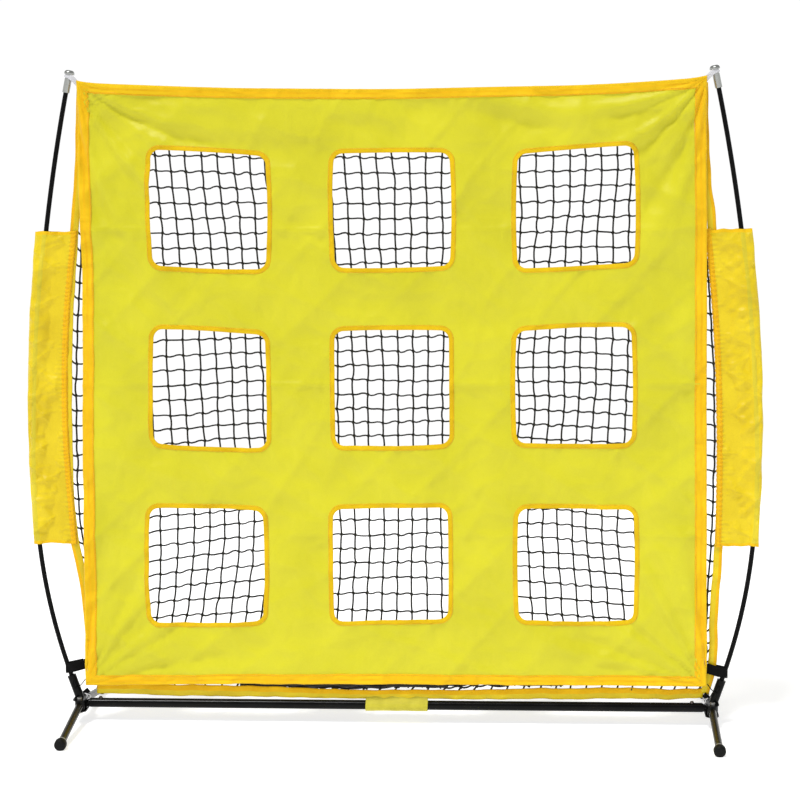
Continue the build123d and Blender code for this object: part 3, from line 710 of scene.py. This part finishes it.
def ball_net():
    """Knotted square mesh: upright strands, wavy level strands, a knot at each crossing and ties."""
    columns = np.arange(-NET_SIDE, NET_SIDE + 1)
    rows = np.arange(NET_ROWS + 1)
    jitter = rng.normal(0, 0.0010, (len(columns), len(rows), 3))
    knots = net_knot(columns[:, None], rows[None, :]) + jitter
    parts = []
    for i in range(len(columns)):
        path = []
        for j in range(NET_ROWS):
            a, b = knots[i, j], knots[i, j + 1]
            lean = rng.normal(0, 0.0012, 2)
            for k in range(3):
                swell = math.sin(math.pi * k / 3)
                path.append(a + (b - a) * k / 3 + np.array([lean[0], lean[1], 0]) * swell)
        path.append(knots[i, NET_ROWS])
        parts.append(tube(path, TWINE_R, around=5))
    for j in range(1, len(rows)):
        for i in range(len(columns) - 1):
            lift = 0.0022 + rng.normal(0, 0.0008)
            hump = rng.normal(0.0004, 0.0008)
            push = rng.normal(0, 0.001)

            def bow(share):
                up = -np.sin(2 * math.pi * share) * lift + np.sin(math.pi * share) * hump
                return np.stack([0 * share, np.sin(math.pi * share) * push, up], 1)
            parts.append(strand(knots[i, j], knots[i + 1, j], bow, 5, TWINE_R * rng.uniform(0.8, 0.98)))
    for side, edge in ((-1, 0), (1, len(columns) - 1)):
        for j in range(2, len(rows) - 1):
            a = knots[edge, j]
            high = min(a[2] + 0.011 + rng.normal(0, 0.003), BORDERS[side][-1][0] - 0.01)
            b = np.array([side * (border_x(high, side) - BORDER_W / 2 + 0.004), 0.0045, high])
            parts.append(strand(a, b, tie_sag, 4, TWINE_R))
    for i in range(len(columns)):
        for j in range(1, len(rows)):
            tilt = rng.normal(0, 0.35)
            axis = np.array([math.sin(tilt), 0, math.cos(tilt)])
            path = knots[i, j] + axis * np.array([-1.0, -0.45, 0.45, 1.0])[:, None] * KNOT_R
            parts.append(tube(path, KNOT_R * np.array([0.45, 0.85, 0.85, 0.45]), around=5))
    for k, (start, end, level, thick) in enumerate(BUNCH):
        x = np.linspace(start, end, int((end - start) / 0.006))
        long = end - start
        settle = np.minimum(1, 4 * (x - start) / long) * np.minimum(1, 4 * (end - x) / long)
        z = level + 0.0032 * waves(x, 0 * x, 0.11, 60 + k) * settle + 0.010 * (1 - settle) * (k % 2)
        y = 0.012 + 0.007 * k + 0.003 * waves(x, 0 * x, 0.07, 70 + k)
        parts.append(tube(np.stack([x, y, z], 1), thick, around=6))
        for spot in rng.uniform(start, end, int((end - start) / 0.045)):
            at = int((spot - start) / (end - start) * (len(x) - 1))
            low = np.array([x[at], y[at] - 0.003, z[at] - rng.uniform(0.003, 0.008)])
            high = np.array([x[at] + rng.uniform(-0.012, 0.016), y[at], z[at] + rng.uniform(0.006, 0.016)])
            parts.append(strand(low, high, straight, 2, TWINE_R * 1.3))
    return mesh_piece("ball_net_twine", *joined(parts), [TWINE])


# ================================================================ net borders
def strip_piece(name, path, width, outward, tones, ruffle=0.0010, seed=50):
    """A flat border strip along a path, in lengthwise bands of the given tones."""
    path = np.asarray(path)
    ahead = np.gradient(path, axis=0)
    ahead /= np.linalg.norm(ahead, axis=1)[:, None]
    outward = np.broadcast_to(np.asarray(outward, float), path.shape)
    across = np.cross(outward, ahead)
    run = np.r_[0, np.cumsum(np.linalg.norm(np.diff(path, axis=0), axis=1))]
    slots = []
    breaks = np.linspace(-0.5, 0.5, 9)
    width = np.broadcast_to(width, run.shape)
    points = []
    for share in breaks:
        lift = ruffle * waves(run, 0 * run + share * width, 0.05, seed) + 0.0012 * math.cos(math.pi * share)
        sway = ruffle * waves(run, 0 * run, 0.11, seed + 1)
        points.append(path + across * (share * width + sway)[:, None] + outward * lift[:, None])
    points = np.stack(points, 1)
    faces = grid_faces(len(path), len(breaks))
    for _ in range(len(path) - 1):
        for k in range(len(breaks) - 1):
            middle = (breaks[k] + breaks[k + 1]) / 2 + 0.5
            slots.append(next(n for n, (upto, _) in enumerate(tones) if middle <= upto))
    return mesh_piece(name, points.reshape(-1, 3), faces, [look for _, look in tones], slots, solid=0.0016)


def net_borders():
    """The four cloth border strips of the ball net."""
    made = []
    for side, name in SIDES:
        heights = np.linspace(BORDERS[side][0][0], BORDERS[side][-1][0] - 0.002, BORDER_STEPS)
        path = np.stack([side * border_x(heights, side), np.full(BORDER_STEPS, BORDER_Y), heights], 1)
        tones = [(0.36, AMBER), (1.0, SLEEVE_YELLOW)]
        if side < 0:
            tones = [(0.64, SLEEVE_YELLOW), (1.0, AMBER)]
        strip = strip_piece(f"net_border_strip_{name}", path, BORDER_W, (0, -1, 0), tones, seed=50 + side)
        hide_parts(f"net_border_{name}")
        made.append(strip)
    x = np.linspace(*BAND_ENDS, BAND_STEPS)
    share = (x / BAND_ENDS[1]) ** 2
    width = 0.0260 + 0.0085 * (1 - np.exp(-((x / 0.35) ** 2))) - 0.007 * share ** 3
    z = BAND_FOOT + BAND_RISE * share + width / 2
    path = np.stack([x, np.full(BAND_STEPS, BORDER_Y), z], 1)
    band = strip_piece("net_border_strip_bottom", path, width, (0, -1, 0),
                       [(0.5, SLEEVE_YELLOW), (1.0, AMBER)], ruffle=0.0014, seed=60)
    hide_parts("net_border_bottom")
    top_low, top_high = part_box("net_border_top")
    x = np.linspace(top_low.x, top_high.x, BAND_STEPS)
    z = top_low.z + TOP_BORDER_W / 2 + (top_high.z - top_low.z - TOP_BORDER_W) * (x / top_high.x) ** 2
    path = np.stack([x, np.full(BAND_STEPS, BORDER_Y), z], 1)
    top = strip_piece("net_border_strip_top", path, TOP_BORDER_W, (0, -1, 0),
                      [(0.5, SLEEVE_YELLOW), (1.0, AMBER)], ruffle=0.0008, seed=61)
    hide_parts("net_border_top")
    return made + [band, top]


# ================================================================ side sleeves
# outer edge, inner edge and pole behind the sleeve: height, distance from the middle
SLEEVE_OUTER = ((0.538, 1.065), (0.70, 1.0710), (0.88, 1.073), (1.15, 1.064), (1.46, 1.036))
SLEEVE_INNER = {1: ((0.538, 0.940), (0.90, 0.940), (1.20, 0.926), (1.46, 0.901)),
                -1: ((0.538, 0.936), (0.90, 0.954), (1.20, 0.943), (1.46, 0.913))}
POLE_LINE = ((0.538, 1.0486), (0.642, 1.0551), (0.698, 1.0560), (0.90, 1.0524), (1.15, 1.0380),
             (1.30, 1.0241), (1.46, 1.0048))
SLEEVE_R = 0.0120           # half thickness of the sleeve where it goes round the pole
POLE_CLEAR = 0.0108         # the cloth never comes nearer the pole's axis than this
SEAM_W = 0.014
SEAM_STEPS = 620
GATHER_PITCH = 0.0135       # between the gathers along the seam


def side_sleeve(side, name):
    """A cloth sock round the pole, gathered into the stitched amber seam on its inner edge."""
    rows, around = ((300, 110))
    low, high = SLEEVE_OUTER[0][0], SLEEVE_OUTER[-1][0]
    height = np.linspace(low, high, rows)[:, None]
    outer = curve(SLEEVE_OUTER, height)
    inner = curve(SLEEVE_INNER[side], height) + SEAM_W
    pole = curve(POLE_LINE, height)
    share = np.linspace(-1, 1, around)[None, :]      # -1 front seam, 0 outer edge, 1 back seam
    face = np.sign(share)
    reach = np.abs(share)                            # 0 at the outer edge, 1 at the seam
    bend = 0.22
    nose = np.clip(reach / bend, 0, 1)
    flat = np.clip((reach - bend) / (1 - bend), 0, 1)
    x = np.where(reach < bend, outer - SLEEVE_R * (1 - np.sin(0.5 * math.pi * (1 - nose))),
                 outer - SLEEVE_R + (inner - outer + SLEEVE_R) * flat)
    thick = np.where(reach < bend, SLEEVE_R * np.sin(0.5 * math.pi * nose), SLEEVE_R)
    past_pole = np.clip((pole - x) / 0.055, 0, 1)
    thick = thick * (1 - 0.86 * past_pole ** 0.8)
    y = face * thick
    d_seam = np.abs(x - inner)
    seed = 70 + (side > 0) * 10
    sideways = x + 3.0 * (face > 0)
    gathers = np.sin(2 * math.pi * height / GATHER_PITCH + 2.2 * waves(height, 0 * x, 0.12, seed))
    pucker = np.exp(-d_seam / 0.016) * gathers
    drape = 0.0050 * waves(sideways, height * 0.55, 0.085, seed + 1, 0.4, 0.9)
    drape += 0.0066 * (creases(sideways, height * 0.8, 0.16, seed + 2, 1.0, 0.4) - 0.4)
    drape += 0.0056 * (creases(sideways, height * 0.8, 0.12, seed + 3, 2.2, 0.4) - 0.4)
    drape += 0.0030 * (creases(sideways, height * 0.9, 0.07, seed + 8, 1.3, 0.7) - 0.4)
    drape += 0.0014 * waves(sideways, height, 0.03, seed + 4)
    free = np.clip(d_seam / 0.022, 0, 1) * np.clip(reach / 0.10, 0, 1)
    y = y + face * (drape * free + 0.0026 * pucker)
    x = x + 0.0010 * waves(height, face, 0.09, seed + 5) * free + 0.0014 * pucker * (face < 0)
    x = x + np.where(reach < 0.12, 0.0010 * waves(height, 0 * x, 0.12, seed + 6), 0)
    hug = np.sqrt(np.maximum(POLE_CLEAR ** 2 - (x - pole) ** 2, 0))
    y = face * np.maximum(face * y, np.maximum(hug, 0.0008 * (reach > 0.02)))
    lip = 0.0015 * waves(x, height * 0, 0.05, seed + 7)
    edge = np.clip(1 - np.abs(height - high) / 0.03, 0, 1) + np.clip(1 - np.abs(height - low) / 0.03, 0, 1)
    z = np.broadcast_to(height, x.shape) + lip * edge
    points = np.stack([side * x, y, z], -1)
    faces = grid_faces(rows, around)
    if side < 0:
        faces = [f[::-1] for f in faces]
    hem = 0.011
    tall = np.linspace(low, high, rows)
    slots = []
    for r in range(rows - 1):
        in_hem = tall[r] > high - hem or tall[r] < low + 0.6 * hem
        # painted shade: the band of the front face just over the pole gets the darker sleeve cloth
        pole_shade_band = (np.abs(x[r, 1:] - pole[r] - 0.003) < 0.0060) & (share[0, 1:] < 0)
        slots += [1 if in_hem else 2 if over else 0 for over in pole_shade_band]
    cloth = mesh_piece(f"sleeve_cloth_{name}", points.reshape(-1, 3), faces,
                       [SLEEVE_YELLOW, AMBER_LIGHT, SLEEVE_SHADE], slots, solid=0.0008)

    # gathered seam strip, from the sleeve's inner edge to the net's border
    h = np.linspace(low - 0.002, high + 0.002, SEAM_STEPS)
    start = curve(SLEEVE_INNER[side], h)
    profile = [(0.0, 0.0), (0.0015, 0.0024), (SEAM_W * 0.35, 0.0040), (SEAM_W * 0.7, 0.0042),
               (SEAM_W + 0.0035, 0.0030), (SEAM_W + 0.004, 0.0), (SEAM_W + 0.0035, -0.0030),
               (SEAM_W * 0.6, -0.0040), (0.0015, -0.0022)]
    ring = []
    ruck = np.sin(2 * math.pi * h / GATHER_PITCH + 2.2 * waves(h, 0 * h, 0.12, seed))
    for across, deep in profile:
        gather = 1 + 0.30 * ruck * (across / SEAM_W)
        ring.append(np.stack([side * (start + across + 0.0007 * ruck), -deep * gather, h], 1))
    seam_points = np.stack(ring, 1).reshape(-1, 3)
    seam_faces = grid_faces(SEAM_STEPS, len(profile), close=True)
    seam = mesh_piece(f"sleeve_seam_{name}", seam_points, seam_faces, [AMBER])
    threads = []
    for across in (0.003, 0.0115):
        line = np.stack([side * (start + across), np.full(SEAM_STEPS, -0.0044), h], 1)
        threads.append(dashes(line, np.tile([0.0, -1.0, 0.0], (SEAM_STEPS, 1)), pitch=0.0068))
    stitches = mesh_piece(f"sleeve_stitches_{name}", *joined(threads), [THREAD])
    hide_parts(f"side_sleeve_{name}")
    return [cloth, seam, stitches]


# ================================================================ webbing, loops, ties and tab
STRAP_POLE, STRAP_POLE_R = (0.9711, 0.1630), 0.0084      # pole's x and z at the strap, ring radius
STRAP_SLOPE = math.tan(math.radians(13.5))
TIP_NECK = (0.9262, 1.9084)
# black cord at the net's corner, crossed over the socket, and its loose end
CORNER_CORD = ((0.921, -0.005, 0.128), (0.934, -0.011, 0.112), (0.950, -0.022, 0.104), (0.957, -0.021, 0.116),
               (0.949, -0.019, 0.124), (0.938, -0.014, 0.108), (0.930, -0.010, 0.092))
CORNER_TAIL = ((0.9560, 0.0030, 0.1120), (0.9460, -0.0030, 0.1010), (0.9330, -0.0060, 0.0890))


def soft_band(points, width, thick, outward_hint, name, look):
    """A flat webbing band along a path, its width set across the hinted outward direction."""
    points = np.asarray(points, float)
    run = np.r_[0, np.cumsum(np.linalg.norm(np.diff(points, axis=0), axis=1))]
    at = np.linspace(0, run[-1], max(12, int(run[-1] / 0.004)))
    path = np.stack([smooth(points[:, k], run, at) for k in range(3)], 1)
    hints = np.stack([smooth(np.asarray(outward_hint, float)[:, k], run, at) for k in range(3)], 1)
    ahead = np.gradient(path, axis=0)
    ahead /= np.linalg.norm(ahead, axis=1)[:, None]
    out = hints - ahead * (hints * ahead).sum(1)[:, None]
    out /= np.linalg.norm(out, axis=1)[:, None]
    across = np.cross(ahead, out)
    rim = thick / 2
    profile = [(-width / 2, 0), (-width / 2 + rim, rim), (-width * 0.2, rim * 1.1), (width * 0.2, rim * 1.1),
               (width / 2 - rim, rim), (width / 2, 0), (width / 2 - rim, -rim), (-width / 2 + rim, -rim)]
    strand, faces = ribbon(path, across, out, profile)
    last = (len(path) - 1) * len(profile)
    faces += [tuple(range(len(profile)))[::-1], tuple(range(last, last + len(profile)))]
    return mesh_piece(name, strand, faces, [look])


def side_straps():
    """Webbing from the border round each pole, just above the socket, square to the leaning pole."""
    made = []
    for side, name in SIDES:
        spots = [(x, -0.0040 - 0.0052 * k) for k, x in enumerate((0.9040, 0.9300, 0.9580))]
        hints = [(0, -1, 0)] * 3
        for degrees in range(0, 181, 20):
            a = math.radians(degrees)
            spots.append((STRAP_POLE[0] + STRAP_POLE_R * math.sin(a), -STRAP_POLE_R * math.cos(a)))
            hints.append((side * math.sin(a), -math.cos(a), 0))
        spots += [(x, y) for x, y in ((0.9580, 0.0085), (0.9400, 0.0060), (0.9250, 0.0055))]
        hints += [(0, 1, 0)] * 3
        points = [(side * x, y, STRAP_POLE[1] - (x - STRAP_POLE[0]) * STRAP_SLOPE) for x, y in spots]
        made.append(soft_band(points, 0.030, 0.0018, hints, f"side_strap_band_{name}", BLACK_WEBBING))
    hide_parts("side_straps")
    return made


def cord(points, side, steps, radius, name, look):
    """A smooth round cord through points of the right-hand side, or their mirror images."""
    points = np.array([(side * x, y, z) for x, y, z in points])
    at = np.linspace(0, len(points) - 1, steps)
    path = np.stack([smooth(points[:, axis], np.arange(len(points)), at) for axis in range(3)], 1)
    return mesh_piece(name, *tube(path, radius, 8), [look])


def corner_details():
    """White loops at the pole tips, black ties with pale elastic at the lower corners."""
    loops, ties = [], []
    for side, name in SIDES:
        points, hints = [], []
        for degrees in range(210, -71, -20):
            a = math.radians(degrees)
            points.append((side * (TIP_NECK[0] + 0.0090 * math.cos(a)), -0.0090 * math.sin(a),
                           TIP_NECK[1] + 0.0019 * math.cos(a)))
            hints.append((side * math.cos(a), -math.sin(a), 0.15))
        loops.append(soft_band(points, 0.015, 0.0016, hints, f"corner_loop_ring_{name}", WHITE_WEBBING))
        arm = [(0.9350, -0.0092, 1.9125), (0.9255, -0.0124, 1.9085), (0.9120, -0.0146, 1.8985),
               (0.9000, -0.0152, 1.8870), (0.8890, -0.0150, 1.8740)]
        loops.append(soft_band([(side * x, y, z) for x, y, z in arm], 0.0145, 0.0020, [(0, -1, 0.3)] * 5,
                               f"corner_loop_arm_{name}", WHITE_WEBBING))
        strap = [(0.9115, -0.0030, 0.0960), (0.9190, -0.0040, 0.0900), (0.9255, -0.0052, 0.0845)]
        ties.append(soft_band([(side * x, y, z) for x, y, z in strap], 0.015, 0.0020, [(0, -1, 0)] * 3,
                              f"corner_tie_band_{name}", ELASTIC))
        for k, reach in enumerate((0.0, 0.010)):
            line = [(0.9240, -0.0060, 0.0860), (0.9160 - reach, -0.0100, 0.0800),
                    (0.9190 - reach, -0.0150, 0.0720), (0.9300, -0.0160, 0.0700 - 0.3 * reach)]
            ties.append(cord(line, side, 22, 0.0011, f"corner_tie_cord_{name}_{k + 1}", WHITE_WEBBING))
        ties.append(cord(CORNER_CORD, side, 60, 0.0013, f"corner_tie_loop_{name}", ELASTIC))
        ties.append(cord(CORNER_TAIL, side, 18, 0.0013, f"corner_tie_tail_{name}", ELASTIC))
    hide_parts("corner_loops")
    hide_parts("corner_ties")
    return loops + ties


TAB_AROUND, TAB_ALONG = 70, 60


def base_tab():
    """Hook-and-loop tab: down the bar's front, round it and up its back to the border."""
    wrap = BAR_R + 0.0016
    outline = [(0.0056, TAB_HIGH.z - 0.006), (-0.0020, BAR_Z + wrap + 0.0035)]
    for degrees in range(60, -241, -12):
        a = math.radians(degrees)
        stand = 0.0016 if -150 < degrees < 30 else 0.0
        outline.append((-(wrap + stand) * math.cos(a), BAR_Z + (wrap + stand) * math.sin(a)))
    outline += [(0.0045, BAR_Z + wrap + 0.006), (0.0048, TAB_HIGH.z - 0.002)]
    outline = np.array(outline)
    run = np.r_[0, np.cumsum(np.linalg.norm(np.diff(outline, axis=0), axis=1))]
    at = np.linspace(0, run[-1], TAB_AROUND)
    y, z = smooth(outline[:, 0], run, at), smooth(outline[:, 1], run, at)
    xs = np.linspace(TAB_LOW.x + 0.001, TAB_HIGH.x - 0.001, TAB_ALONG)
    points = []
    for k, x in enumerate(xs):
        level = np.full(TAB_AROUND, x)
        ripple = 0.0006 * waves(level, at, 0.05, 90)
        points.append(np.stack([level + 0.001 * waves(at, 0 * at, 0.06, 91), y - ripple, z + ripple], 1))
    cloth = mesh_piece("base_tab_cloth", np.concatenate(points), grid_faces(TAB_ALONG, TAB_AROUND),
                       [TAB_YELLOW], solid=0.0014)
    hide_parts("base_tab")
    return cloth


# ================================================================ stage
KEY_FROM = (-1.1, -1.9, 4.6)


def stage():
    """Pale floor and soft studio light."""
    scene = bpy.context.scene
    scene.view_settings.view_transform = "Standard"
    half = 4.5
    corners = [(-half, -half, 0), (half, -half, 0), (half, half, 0), (-half, half, 0)]
    floor = mesh_piece("studio_floor", corners, [(0, 1, 2, 3)], [])
    made, nodes, links, shader = material("studio_floor_white")
    vector = place(nodes, links)
    greys = [(0.3, (0.69, 0.69, 0.69)), (0.7, (0.71, 0.71, 0.71))]
    links.new(ramp(nodes, links, noise(nodes, links, vector, 2.0), greys), shader.inputs["Base Color"])
    shader.inputs["Roughness"].default_value = 0.9
    shader.inputs["Emission Color"].default_value = (1, 1, 1, 1)
    shader.inputs["Emission Strength"].default_value = 0.62
    floor.data.materials.append(made)

    world = bpy.data.worlds.new("studio")
    scene.world = world
    world.use_nodes = True
    nodes, links = world.node_tree.nodes, world.node_tree.links
    split = nodes.new("ShaderNodeSeparateXYZ")
    links.new(nodes.new("ShaderNodeTexCoord").outputs["Generated"], split.inputs[0])
    links.new(ramp(nodes, links, split.outputs["Z"], [(0.16, (1, 1, 1)), (0.42, (0.40, 0.40, 0.40))]),
              nodes["Background"].inputs["Color"])
    nodes["Background"].inputs["Strength"].default_value = 1.03
    sun = bpy.data.lights.new("key", "SUN")
    sun.energy, sun.angle = 2.35, math.radians(14)
    lamp = bpy.data.objects.new("key", sun)
    lamp.rotation_euler = (-Vector(KEY_FROM)).to_track_quat("-Z", "Y").to_euler()
    scene.collection.objects.link(lamp)


def camera():
    """The picture's camera, found by fitting known places of the frame."""
    data = bpy.data.cameras.new("camera")
    data.lens = CAMERA_LENS
    made = bpy.data.objects.new("camera", data)
    turn = (Matrix.Rotation(math.radians(CAMERA_YAW), 4, "Z")
            @ Matrix.Rotation(math.radians(90 - CAMERA_PITCH), 4, "X")
            @ Matrix.Rotation(math.radians(CAMERA_ROLL), 4, "Z"))
    made.matrix_world = Matrix.Translation(CAMERA_AT) @ turn
    bpy.context.scene.collection.objects.link(made)
    bpy.context.scene.camera = made


# ================================================================ the whole
camera()
stage()
dress_frame()
press_springs()
soft = []

panel = panel_cloth()
bindings = panel_bindings()
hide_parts("target_panel")
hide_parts("panel_binding")
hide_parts("window_bindings")
soft += [panel, *bindings]

net = ball_net()
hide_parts("net_back", "net_top", "net_bottom", "net_side_left", "net_side_right")
soft.append(net)
soft += net_borders()
soft += side_sleeve(1, "right") + side_sleeve(-1, "left")
straps = side_straps()
corners = corner_details()
soft += straps + corners
soft.append(base_tab())

for piece in soft:
    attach(piece, "frame")
